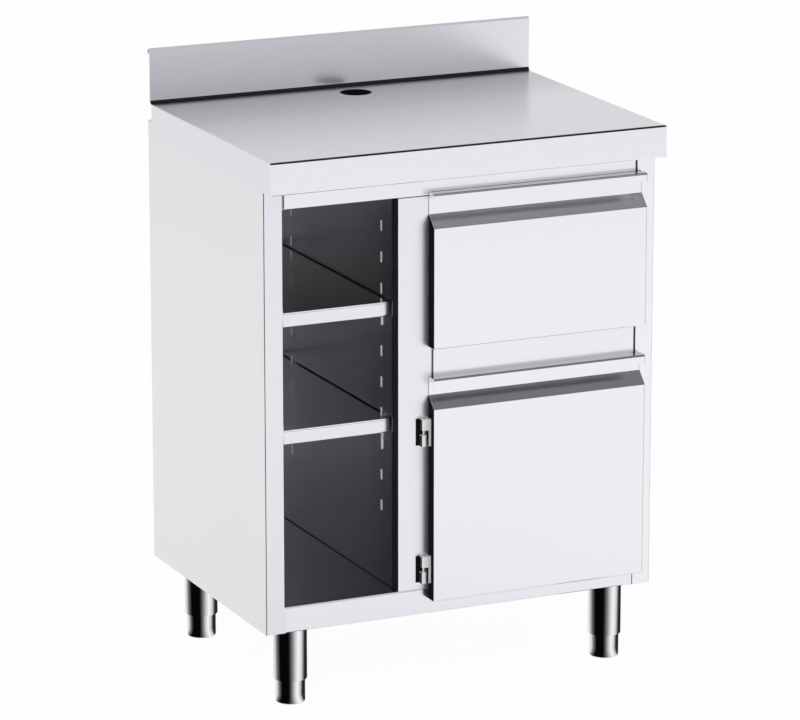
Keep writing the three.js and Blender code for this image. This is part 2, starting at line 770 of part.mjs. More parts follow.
// Drawer on its runners
const drawerBottom = MID_RAIL_TOP - DRAWER_LAP_BOTTOM;
const drawerTop = TOP_RAIL_BOTTOM + DRAWER_LAP_TOP;
const drawer = new THREE.Group();
station.add(drawer);
place(drawer, "drawer_front", frontSkin(drawerBottom, drawerTop, DRAWER_GRIP_HEIGHT), "panel");
place(drawer, "drawer_pan", frontPan(drawerBottom, drawerTop, DRAWER_GRIP_HEIGHT), "inside");
place(drawer, "drawer_box", drawerBox(), "inside");
place(station, "runner_bracket", runnerBracket(), "runner");
const runnerSides = { left: [OPENING_LEFT, 1], right: [OPENING_RIGHT, -1] };
for (const [side, [wall, direction]] of Object.entries(runnerSides)) {
  const runner = new THREE.Group();
  runner.position.set(wall, 0, RUNNER_MIDDLE);
  runner.scale.x = direction;
  station.add(runner);
  for (const [member, make] of Object.entries(runnerMembers)) {
    place(runner, `runner_${member}_${side}`, make(), "runner");
  }
}

// Door on two hinges, with a magnet under the mid rail
const doorBottom = BAY_FLOOR - DOOR_LAP_BOTTOM;
const doorTop = MID_RAIL_BOTTOM + DOOR_LAP_TOP;
const door = new THREE.Group();
station.add(door);
place(door, "door_front", frontSkin(doorBottom, doorTop, DOOR_GRIP_HEIGHT), "panel");
place(door, "door_pan", frontPan(doorBottom, doorTop, DOOR_GRIP_HEIGHT), "inside");
const hinges = {
  upper: doorTop - DOOR_GRIP_HEIGHT - HINGE_BELOW_FACE_TOP - HINGE_HEIGHT,
  lower: doorBottom + HINGE_ABOVE_BOTTOM,
};
for (const [level, low] of Object.entries(hinges)) {
  const axis = [FRONT_LEFT - HINGE_FROM_EDGE, FRAME - HINGE_FROM_FRAME, low];
  place(station, `hinge_frame_${level}`, hingeFramePart(), "hinge", axis);
  place(door, `hinge_door_${level}`, hingeDoorPart(), "hinge", axis);
}
const catchTop = MID_RAIL_BOTTOM - SEAT;
const catchRight = OPENING_RIGHT - CATCH_FROM_STILE;
const catchWidth = [catchRight - CATCH_WIDTH, catchRight];
const catchHeight = [catchTop - CATCH_HEIGHT, catchTop];
const strikeFront = FRONT_BACK + SEAT;
const magnetFront = strikeFront + SHEET + SEAT;
const magnetDepth = [magnetFront, magnetFront + CATCH_DEPTH];
place(door, "door_strike", block(catchWidth, [strikeFront, strikeFront + SHEET], catchHeight), "hinge");
place(station, "door_magnet", block(catchWidth, magnetDepth, catchHeight), "magnet");

// Legs with levelling feet
const legRows = { front: FRAME + LEG_FROM_FRONT, rear: BODY_REAR - LEG_FROM_REAR };
const legColumns = { left: BODY_LEFT + LEG_FROM_SIDE, right: -BODY_LEFT - LEG_FROM_SIDE };
for (const [row, y] of Object.entries(legRows)) {
  for (const [column, x] of Object.entries(legColumns)) {
    place(station, `leg_${row}_${column}`, leg(), "polished", [x, y, 0]);
    place(station, `foot_${row}_${column}`, foot(), "polished", [x, y, 0]);
  }
}

export default station;
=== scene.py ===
"""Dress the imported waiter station: satin folded steel, polished legs, pale studio."""

from __future__ import annotations

import logging
import math
from dataclasses import dataclass
from enum import Enum
from typing import Any, Protocol

import bmesh
import bpy
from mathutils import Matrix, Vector

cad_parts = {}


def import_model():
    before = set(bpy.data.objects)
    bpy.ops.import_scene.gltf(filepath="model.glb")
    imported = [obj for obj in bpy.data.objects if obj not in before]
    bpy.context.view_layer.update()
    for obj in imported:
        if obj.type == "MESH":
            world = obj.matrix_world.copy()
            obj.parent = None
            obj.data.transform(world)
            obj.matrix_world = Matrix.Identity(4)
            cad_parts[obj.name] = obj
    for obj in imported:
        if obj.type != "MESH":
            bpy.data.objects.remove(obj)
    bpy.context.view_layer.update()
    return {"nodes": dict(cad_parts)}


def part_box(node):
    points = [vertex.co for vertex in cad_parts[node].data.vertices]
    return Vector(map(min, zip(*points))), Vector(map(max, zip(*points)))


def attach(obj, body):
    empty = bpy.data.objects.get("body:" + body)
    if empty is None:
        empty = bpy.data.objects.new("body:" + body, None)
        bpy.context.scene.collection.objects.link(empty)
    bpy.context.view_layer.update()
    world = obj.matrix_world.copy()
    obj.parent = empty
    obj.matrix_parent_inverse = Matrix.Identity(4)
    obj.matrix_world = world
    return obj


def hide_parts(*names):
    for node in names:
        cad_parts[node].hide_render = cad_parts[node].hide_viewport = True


LOG = logging.getLogger("waiter_station")
MM = 0.001
MERGE = 0.001 * MM
SHARP_ANGLE = math.radians(35.0)
NOISE_MEAN = 0.5

LEG_PLACES = ("front_left", "front_right", "rear_left", "rear_right")
SHELF_LEVELS = ("upper", "lower")
HINGE_LEVELS = ("upper", "lower")

Colour = tuple[float, float, float]
Place = tuple[float, float, float]
Bound = tuple[float | None, float | None, float | None]
Point = tuple[float, float]

WHITE = (1.0, 1.0, 1.0, 1.0)


class Grain(Enum):
    """Direction that the brushed grain of a sheet runs in."""

    ACROSS = "x"
    DEEP = "y"
    UPRIGHT = "z"


class Value:
    """A shader socket that takes part in arithmetic."""

    def __init__(self, tree: "Tree", socket: bpy.types.NodeSocket) -> None:
        """Keep the socket and the tree that it belongs to."""
        self.tree = tree
        self.socket = socket

    def _math(self, operation: str, first: Any, second: Any) -> "Value":
        """Add one Math node.

        Args:
            operation: name of the node's operation.
            first: a Value or a number.
            second: a Value or a number.

        Returns:
            The node's result.
        """
        made = self.tree.node("ShaderNodeMath", {"operation": operation}, {0: first, 1: second})
        return Value(self.tree, made.outputs[0])

    def __add__(self, other: Any) -> "Value":
        """Sum with a value or a number."""
        return self._math("ADD", self, other)

    def __radd__(self, other: Any) -> "Value":
        """Sum with a number on the left."""
        return self._math("ADD", other, self)

    def __sub__(self, other: Any) -> "Value":
        """Difference to a value or a number."""
        return self._math("SUBTRACT", self, other)

    def __rsub__(self, other: Any) -> "Value":
        """Difference from a number on the left."""
        return self._math("SUBTRACT", other, self)

    def __mul__(self, other: Any) -> "Value":
        """Product with a value or a number."""
        return self._math("MULTIPLY", self, other)

    def __rmul__(self, other: Any) -> "Value":
        """Product with a number on the left."""
        return self._math("MULTIPLY", other, self)

    def most(self, other: Any) -> "Value":
        """The larger of this and another value or number."""
        return self._math("MAXIMUM", self, other)

    def above(self, limit: float) -> "Value":
        """One where this is above the limit, and nought elsewhere."""
        return self._math("GREATER_THAN", self, limit)

    def below(self, limit: float) -> "Value":
        """One where this is below the limit, and nought elsewhere."""
        return self._math("LESS_THAN", self, limit)


class Tree:
    """The node tree of one material or of the world."""

    def __init__(self, owner: bpy.types.Material | bpy.types.World) -> None:
        """Start the owner's tree afresh.

        Args:
            owner: the material or world.
        """
        owner.use_nodes = True
        self.nodes = owner.node_tree.nodes
        self.links = owner.node_tree.links
        self.nodes.clear()

    def node(
        self,
        kind: str,
        settings: dict[str, Any] | None = None,
        inputs: dict[str | int, Any] | None = None,
    ) -> bpy.types.Node:
        """Add a node of any type.

        Args:
            kind: the node's type.
            settings: properties, set before the sockets are filled; "stops" fills a colour ramp.
            inputs: a value, a Value or a socket for each input, by name or number.

        Returns:
            The new node.
        """
        made = self.nodes.new(kind)
        for name, setting in (settings or {}).items():
            if name == "stops":
                self._fill_ramp(made, setting)
            else:
                setattr(made, name, setting)
        for key, given in (inputs or {}).items():
            socket = made.inputs[key]
            if isinstance(given, Value):
                self.links.new(given.socket, socket)
            elif isinstance(given, bpy.types.NodeSocket):
                self.links.new(given, socket)
            else:
                socket.default_value = given
        return made

    @staticmethod
    def _fill_ramp(made: bpy.types.Node, stops: list[tuple[float, Colour]]) -> None:
        """Replace a ramp's stops.

        Args:
            made: the ramp's node.
            stops: pairs of place and colour.
        """
        elements = made.color_ramp.elements
        while len(elements) > 1:
            elements.remove(elements[-1])
        for index, (place, colour) in enumerate(stops):
            element = elements[0] if index == 0 else elements.new(place)
            element.position = place
            element.color = (*colour, 1.0)

    def noise(self, scale: tuple[float, float, float], detail: float) -> Value:
        """Noise on Object coordinates.

        Args:
            scale: waves per metre along each axis.
            detail: octaves of finer noise.

        Returns:
            The noise's value, around one half.
        """
        place = self.node("ShaderNodeTexCoord").outputs["Object"]
        stretched = self.node("ShaderNodeMapping", None, {"Vector": place, "Scale": scale})
        made = self.node(
            "ShaderNodeTexNoise",
            None,
            {"Vector": stretched.outputs[0], "Scale": 1.0, "Detail": detail},
        )
        return Value(self, made.outputs["Fac"])

    def parts(self, vector: bpy.types.NodeSocket) -> tuple[Value, Value, Value]:
        """The three parts of a vector."""
        made = self.node("ShaderNodeSeparateXYZ", None, {0: vector})
        return tuple(Value(self, socket) for socket in made.outputs)

    def blend(self, factor: Value, low: Any, high: Any) -> bpy.types.NodeSocket:
        """Mix two colours.

        Args:
            factor: nought for the low colour and one for the high one.
            low: a colour or a socket.
            high: a colour or a socket.

        Returns:
            The mixed colour's socket.
        """
        ends = [
            end if isinstance(end, bpy.types.NodeSocket) else (*end, 1.0) for end in (low, high)
        ]
        made = self.node(
            "ShaderNodeMix", {"data_type": "RGBA"}, {"Factor": factor, 6: ends[0], 7: ends[1]}
        )
        return made.outputs[2]

    def surface(self, shader: bpy.types.NodeSocket) -> None:
        """Lead a shader to the material's output."""
        self.node("ShaderNodeOutputMaterial", None, {"Surface": shader})


def shaded(colour: Colour, share: float) -> Colour:
    """A colour times a share."""
    return (colour[0] * share, colour[1] * share, colour[2] * share)


@dataclass(frozen=True)
class Zone:
    """A box in the row's frame, open where a bound is left out, with painted shade inside it."""

    # Share of the tint painted inside the box; at one the plain tint is painted, without shade.
    share: float
    low: Bound = (None, None, None)
    high: Bound = (None, None, None)

    def mask(self, tree: Tree) -> Value:
        """Tell the inside of the box from the outside.

        Args:
            tree: the material's tree.

        Returns:
            One inside the box, and nought outside it.
        """
        parts = tree.parts(tree.node("ShaderNodeTexCoord").outputs["Object"])
        tests = [part.above(bound) for part, bound in zip(parts, self.low) if bound is not None]
        tests += [part.below(bound) for part, bound in zip(parts, self.high) if bound is not None]
        return math.prod(tests[1:], start=tests[0])


@dataclass(frozen=True)
class Fade:
    """A painted shade on level faces that grows from one depth to another."""

    share: float
    start: float
    end: float
    level_limit: float = 0.9

    def mask(self, tree: Tree) -> Value:
        """Tell how far the painted shade has grown.

        Args:
            tree: the material's tree.

        Returns:
            Nought at the start and on upright faces, and one at the end.
        """
        upward = tree.parts(tree.node("ShaderNodeTexCoord").outputs["Normal"])[2]
        depth = tree.parts(tree.node("ShaderNodeTexCoord").outputs["Object"])[1]
        grown = tree.node("ShaderNodeMapRange", None, {0: depth, 1: self.start, 2: self.end})
        return Value(tree, grown.outputs[0]) * upward.above(self.level_limit)


class Finish(Protocol):
    """What every finish has: a name, and a way to make its material."""

    @property
    def name(self) -> str:
        """The material's name."""

    def material(self) -> bpy.types.Material:
        """Make the finish's material."""


@dataclass(frozen=True)
class SheetSteel:
    """Satin stainless sheet with a fine grain.

    Faces that look forward take a painted reflection, the front tint (cooler and lighter on most
    finishes). Painted shade dims the sheet in its zones, and by a share on faces and bends that
    lean up and forward (brow), on upright bends that look left and forward (corner) and on faces
    that look left (flank).
    """

    name: str
    tint: Colour
    # Painted reflection: the tint of faces that look forward.
    front_painted_tint: Colour
    roughness: float
    grain: Grain
    # Painted shade: share of the tint on faces and bends that lean up and forward.
    brow_shade: float = 1.0
    # Painted shade: share of the tint on upright bends that look left and forward.
    corner: float = 1.0
    # Painted shade: share of the tint on faces that look left.
    flank_shade: float = 1.0
    flank_limit: float = -0.55
    metallic: float = 1.0
    zones: tuple[Zone | Fade, ...] = ()
    front_limit: float = -0.7
    corner_limit: float = -0.5
    brow_lean: float = 0.2
    brow_ceiling: float = 900.0 * MM
    grain_depth: float = 0.015
    gloss_depth: float = 0.07
    long_wave: float = 9.0
    short_wave: float = 1400.0
    cloud_wave: float = 5.0
    grain_detail: float = 2.0
    cloud_detail: float = 3.0
    bump_strength: float = 0.02
    bump_height: float = 0.05 * MM

    def _shades(self, tree: Tree) -> list[tuple[Value, Colour]]:
        """List the places with a painted tint: the painted front reflection, then painted shade.

        Args:
            tree: the material's tree.

        Returns:
            The mask of each place and its tint, in the order that they are laid on.
        """
        x, y, z = tree.parts(tree.node("ShaderNodeTexCoord").outputs["Normal"])
        # Painted reflection on faces that look forward, then the zones' painted shade.
        shades = [(y.below(self.front_limit), self.front_painted_tint)]
        shades += [(zone.mask(tree), shaded(self.tint, zone.share)) for zone in self.zones]
        # Painted shade on bends and grip slopes that lean up and forward, below the ceiling.
        if self.brow_shade < 1:
            below = Zone(self.brow_shade, high=(None, None, self.brow_ceiling)).mask(tree)
            leaning = z.above(self.brow_lean) * y.below(-self.brow_lean)
            shades.append((leaning * below, shaded(self.front_painted_tint, self.brow_shade)))
        # Painted dark line on upright bends that look left and forward.
        if self.corner < 1:
            upright = x.below(self.corner_limit) * y.below(self.corner_limit)
            shades.append((upright, shaded(self.tint, self.corner)))
        # Painted shade on faces that look left.
        if self.flank_shade < 1:
            shades.append((x.below(self.flank_limit), shaded(self.tint, self.flank_shade)))
        return shades

    def material(self) -> bpy.types.Material:
        """Make the sheet's material.

        Returns:
            A metal whose colour, gloss and bump follow the grain and a faint cloudiness.
        """
        made = bpy.data.materials.new(self.name)
        tree = Tree(made)
        waves = {axis: self.short_wave for axis in Grain}
        waves[self.grain] = self.long_wave
        scale = (waves[Grain.ACROSS], waves[Grain.DEEP], waves[Grain.UPRIGHT])
        grain = tree.noise(scale, self.grain_detail)
        cloud = tree.noise((self.cloud_wave,) * 3, self.cloud_detail)
        colour = tree.blend(grain, shaded(self.tint, 1 - self.grain_depth), self.tint)
        for mask, tint in self._shades(tree):
            streaked = tree.blend(grain, shaded(tint, 1 - self.grain_depth), tint)
            colour = tree.blend(mask, colour, streaked)
        roughness = self.roughness + self.gloss_depth * (cloud - NOISE_MEAN)
        roughness = roughness + self.gloss_depth * (grain - NOISE_MEAN)
        bump = tree.node(
            "ShaderNodeBump",
            None,
            {"Strength": self.bump_strength, "Distance": self.bump_height, "Height": grain},
        )
        steel = tree.node(
            "ShaderNodeBsdfPrincipled",
            None,
            {
                "Base Color": colour,
                "Metallic": self.metallic,
                "Roughness": roughness,
                "Normal": bump.outputs[0],
            },
        )
        tree.surface(steel.outputs[0])
        return made


@dataclass(frozen=True)
class PolishedSteel:
    """Mirror-polished tube with faint turning marks."""

    name: str
    tint: Colour
    roughness: float
    waves: Place = (3.0, 3.0, 900.0)
    detail: float = 2.0
    ring_depth: float = 0.04
    gloss_depth: float = 0.05

    def material(self) -> bpy.types.Material:
        """Make the tube's material.

        Returns:
            A bright metal with fine rings across its length.
        """
        made = bpy.data.materials.new(self.name)
        tree = Tree(made)
        rings = tree.noise(self.waves, self.detail)
        colour = tree.blend(rings, shaded(self.tint, 1 - self.ring_depth), self.tint)
        roughness = self.roughness + self.gloss_depth * (rings - NOISE_MEAN)
        steel = tree.node(
            "ShaderNodeBsdfPrincipled",
            None,
            {"Base Color": colour, "Metallic": 1.0, "Roughness": roughness},
        )
        tree.surface(steel.outputs[0])
        return made


@dataclass(frozen=True)
class Moulding:
    """Plain plastic or rubber with a fine moulded texture."""

    name: str
    tint: Colour
    roughness: float
    gloss: float = 0.5
    # Painted light: a glow in the moulding's own tint, though it is no lamp.
    glow: float = 0.0
    wave: float = 900.0
    detail: float = 2.0
    speckle_depth: float = 0.1
    gloss_depth: float = 0.15

    def material(self) -> bpy.types.Material:
        """Make the moulding's material.

        Returns:
            A dull surface with a faint speckle, and a painted glow where glow is set.
        """
        made = bpy.data.materials.new(self.name)
        tree = Tree(made)
        speckle = tree.noise((self.wave,) * 3, self.detail)
        colour = tree.blend(speckle, shaded(self.tint, 1 - self.speckle_depth), self.tint)
        plastic = tree.node(
            "ShaderNodeBsdfPrincipled",
            None,
            {
                "Base Color": colour,
                "Roughness": self.roughness + self.gloss_depth * (speckle - NOISE_MEAN),
                "Specular IOR Level": self.gloss,
                # Painted glow in the moulding's tint.
                "Emission Color": (*self.tint, 1.0),
                "Emission Strength": self.glow,
            },
        )
        tree.surface(plastic.outputs[0])
        return made


@dataclass(frozen=True)
class Chipboard:
    """Raw chipboard: flakes of two wood tones."""

    name: str
    light: Colour
    dark: Colour
    roughness: float = 0.85
    waves: Place = (260.0, 260.0, 700.0)
    detail: float = 4.0
    bump_strength: float = 0.3
    bump_height: float = 0.3 * MM

    def material(self) -> bpy.types.Material:
        """Make the board's material.

        Returns:
            A dull surface of flakes.
        """
        made = bpy.data.materials.new(self.name)
        tree = Tree(made)
        flakes = tree.noise(self.waves, self.detail)
        colour = tree.blend(flakes, self.dark, self.light)
        bump = tree.node(
            "ShaderNodeBump",
            None,
            {"Strength": self.bump_strength, "Distance": self.bump_height, "Height": flakes},
        )
        board = tree.node(
            "ShaderNodeBsdfPrincipled",
            None,
            {"Base Color": colour, "Roughness": self.roughness, "Normal": bump.outputs[0]},
        )
        tree.surface(board.outputs[0])
        return made


class Workshop:
    """Makes materials once, dresses CAD nodes and turns bmeshes into riding pieces."""

    def __init__(self, nodes: dict[str, bpy.types.Object]) -> None:
        """Keep the CAD nodes by name."""
        self.nodes = nodes
        self._materials: dict[str, bpy.types.Material] = {}

    def finish(self, finish: Finish) -> bpy.types.Material:
        """Find a finish's material, which is made the first time that it is asked for.

        Args:
            finish: the finish.

        Returns:
            Its material.
        """
        if finish.name not in self._materials:
            self._materials[finish.name] = finish.material()
        return self._materials[finish.name]

    def dress(self, finish: Finish, *names: str) -> None:
        """Give CAD nodes a finish.

        Args:
            finish: the finish.
            names: the nodes.
        """
        for name in names:
            node = self.nodes[name]
            if not node.material_slots:
                node.data.materials.append(None)
            for place in node.material_slots:
                place.material = self.finish(finish)
            LOG.info("dressed %s with %s", name, finish.name)

    def piece(
        self,
        name: str,
        mesh: bmesh.types.BMesh,
        finish: Finish,
        body: str,
        smooth: bool = False,
    ) -> bpy.types.Object:
        """Turn a bmesh into a piece that rides on a body.

        Args:
            name: the piece's name.
            mesh: its shape, in the row's frame; it is freed.
            finish: its finish.
            body: the CAD body that it rides on.
            smooth: whether its faces are shaded smooth between sharp edges.

        Returns:
            The new object.
        """
        bmesh.ops.remove_doubles(mesh, verts=mesh.verts, dist=MERGE)
        bmesh.ops.recalc_face_normals(mesh, faces=mesh.faces)
        data = bpy.data.meshes.new(name)
        mesh.to_mesh(data)
        mesh.free()
        if smooth:
            data.shade_smooth()
            data.set_sharp_from_angle(angle=SHARP_ANGLE)
        data.materials.append(self.finish(finish))
        made = bpy.data.objects.new(name, data)
        bpy.context.scene.collection.objects.link(made)
        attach(made, body)
        LOG.info("built %s on %s", name, body)
        return made


def slab(corners: list[Vector], thickness: Vector) -> bmesh.types.BMesh:
    """A flat outline pushed to a slab.

    Args:
        corners: the outline, in order.
        thickness: how far and which way it is pushed.

    Returns:
        The closed slab.
    """
    made = bmesh.new()
    face = made.faces.new([made.verts.new(corner) for corner in corners])
    pushed = bmesh.ops.extrude_face_region(made, geom=[face], use_keep_orig=True)
    moved = [item for item in pushed["geom"] if isinstance(item, bmesh.types.BMVert)]
    bmesh.ops.translate(made, verts=moved, vec=thickness)
    return made


def spun(profile: list[Point], centre: Point, steps: int) -> bmesh.types.BMesh:
    """A profile of (radius, height) points turned about an upright axis.

    Args:
        profile: the points, from the axis or back to the first.
        centre: x and y of the axis.
        steps: facets round the axis.

    Returns:
        The turned shape.
    """
    made = bmesh.new()
    axis = Vector((centre[0], centre[1], 0.0))
    line = [made.verts.new(axis + Vector((radius, 0.0, height))) for radius, height in profile]
    edges = [made.edges.new(pair) for pair in zip(line, line[1:])]
    bmesh.ops.spin(
        made,
        geom=line + edges,
        cent=axis,
        axis=(0.0, 0.0, 1.0),
        angle=math.tau,
        steps=steps,
        use_merge=True,
    )
    bmesh.ops.remove_doubles(made, verts=made.verts, dist=MERGE)
    bmesh.ops.recalc_face_normals(made, faces=made.faces)
    return made


# Zones of painted shade, in the row's frame, and finishes with painted reflection and shade
# Painted shade inside the cabinet.
CABINET_SHADE = Zone(0.65, (-322.4 * MM, -208.3 * MM, 162.9 * MM), (322.4 * MM, 241.4 * MM, 826.2 * MM))
# The upstand keeps the plain tint, without the painted front reflection.
UPSTAND = Zone(1.0, (None, 224.0 * MM, 856.0 * MM))
# Painted shade on the worktop, growing towards the upstand.
TOP_REAR_SHADE = Fade(0.76, 25.0 * MM, 165.0 * MM)
# Painted dark line along the worktop's front top bend.
TOP_EDGE_SHADE = Zone(0.03, (None, None, 851.4 * MM), (None, -241.2 * MM, None))
# Painted shade at the fronts' right ends.
FRONT_END_SHADE = Zone(0.75, (298.6 * MM, None, None))
# Painted dark line along the door's foot.
DOOR_FOOT_SHADE = Zone(0.4, high=(None, None, 147.6 * MM))
# Painted dark line along the bottom rail's front foot.
RAIL_FOOT_SHADE = Zone(0.25, high=(None, -210.0 * MM, 123.9 * MM))
# Painted dark line along the right side's front edge.
RIGHT_EDGE_SHADE = Zone(0.3, (321.6 * MM, None, None), (None, -210.2 * MM, None))
PLAIN = (0.89, 0.89, 0.895)
# Worktop: cool tint and front tint are painted reflection; brow, corner and zones paint shade.
WORKTOP_STEEL = SheetSteel(
    "worktop_satin",
    (0.885, 0.877, 0.925),
    (0.955, 0.945, 1.0),
    0.26,
    Grain.ACROSS,
    brow_shade=0.03,
    corner=0.2,
    zones=(TOP_EDGE_SHADE, UPSTAND, TOP_REAR_SHADE),
)
# Rails: painted reflection on the front, painted shade inside and along the bottom rail's foot.
RAIL_STEEL = SheetSteel(
    "rail_satin", PLAIN, (0.945, 0.935, 0.99), 0.20, Grain.ACROSS, zones=(CABINET_SHADE, RAIL_FOOT_SHADE)
)
# Left side: painted reflection on the front, painted dark line on its front bend, shade inside.
LEFT_STEEL = SheetSteel(
    "left_satin", PLAIN, (0.895, 0.885, 0.94), 0.22, Grain.UPRIGHT, corner=0.08, zones=(CABINET_SHADE,)
)
# Right side: painted reflection on the front, painted dark lines on bends and front edge.
RIGHT_STEEL = SheetSteel(
    "right_satin",
    PLAIN,
    (0.975, 0.965, 1.0),
    0.22,
    Grain.UPRIGHT,
    corner=0.1,
    zones=(CABINET_SHADE, RIGHT_EDGE_SHADE),
)
# Back: lighter where it looks forward as painted reflection; painted shade inside the cabinet.
BACK_STEEL = SheetSteel(
    "back_satin", shaded(PLAIN, 0.9), PLAIN, 0.28, Grain.ACROSS, zones=(CABINET_SHADE,), grain_depth=0.05
)
# Mid stile: painted reflection on the front, its left-looking return painted near black as shade.
STILE_STEEL = SheetSteel(
    "stile_satin", PLAIN, (0.96, 0.95, 1.0), 0.32, Grain.UPRIGHT, flank_shade=0.02, zones=(CABINET_SHADE,)
)
# Fronts: painted reflection in front; painted shade on grip slopes, right ends and the door's
# foot.
DRAWER_STEEL = SheetSteel(
    "drawer_satin", PLAIN, (0.965, 0.955, 1.0), 0.20, Grain.ACROSS, brow_shade=0.41, zones=(FRONT_END_SHADE,)
)
DOOR_STEEL = SheetSteel(
    "door_satin",
    PLAIN,
    (0.965, 0.955, 1.0),
    0.20,
    Grain.ACROSS,
    brow_shade=0.30,
    zones=(FRONT_END_SHADE, DOOR_FOOT_SHADE),
)
PAN_STEEL = SheetSteel("pan_satin", PLAIN, PLAIN, 0.26, Grain.ACROSS)
# Drawer box: forward-looking and left-looking faces painted darker, as shade inside the box.
BOX_STEEL = SheetSteel(
    "box_satin", PLAIN, (0.70, 0.70, 0.72), 0.42, Grain.DEEP, flank_shade=0.82, metallic=0.4
)
# Bay and door walls: tint painted darker as shade inside; front edges painted near black; dark
# bend lines.
WALL_STEEL = SheetSteel(
    "wall_shaded", (0.68, 0.665, 0.745), (0.04, 0.04, 0.042), 0.22, Grain.UPRIGHT, corner=0.06
)
# Shelves: painted reflection on the front lip.
SHELF_STEEL = SheetSteel("shelf_satin", PLAIN, (0.90, 0.89, 0.94), 0.20, Grain.ACROSS)
ZINC = (0.72, 0.73, 0.76)
RUNNER_STEEL = SheetSteel("runner_zinc", ZINC, ZINC, 0.38, Grain.DEEP)
CLIP_STEEL = SheetSteel("clip_satin", PLAIN, PLAIN, 0.28, Grain.UPRIGHT)
# Hinges: faces that look left are painted near black, as shade.
HINGE_STEEL = SheetSteel(
    "hinge_cast",
    (0.86, 0.86, 0.88),
    (0.86, 0.86, 0.88),
    0.45,
    Grain.UPRIGHT,
    flank_shade=0.02,
    flank_limit=-0.75,
    metallic=0.2,
)
LEG_STEEL = PolishedSteel("leg_polish", (0.95, 0.95, 0.96), 0.09)
BOARD = Chipboard("chipboard", (0.62, 0.47, 0.29), (0.40, 0.27, 0.14))
# Dark trim: the cable sleeve's black, and painted shade in the fronts' end caps and hinge plates.
DARK_TRIM_AND_SHADE = Moulding("dark_trim_and_shade", (0.008, 0.008, 0.009), 0.7, gloss=0.02)
# Bay trim: the wall's dark seal, and painted shade on the mid stile's return.
BAY_SEAL_AND_SHADE = Moulding("bay_seal_and_shade", (0.024, 0.023, 0.028), 0.7, gloss=0.02)
# Slot inserts: pale, with a painted glow.
INSERT_PAINTED_GLOW = Moulding("insert_painted_glow", (0.82, 0.82, 0.84), 0.5, glow=0.16)
MAGNET = Moulding("magnet_case", (0.03, 0.03, 0.032), 0.5)


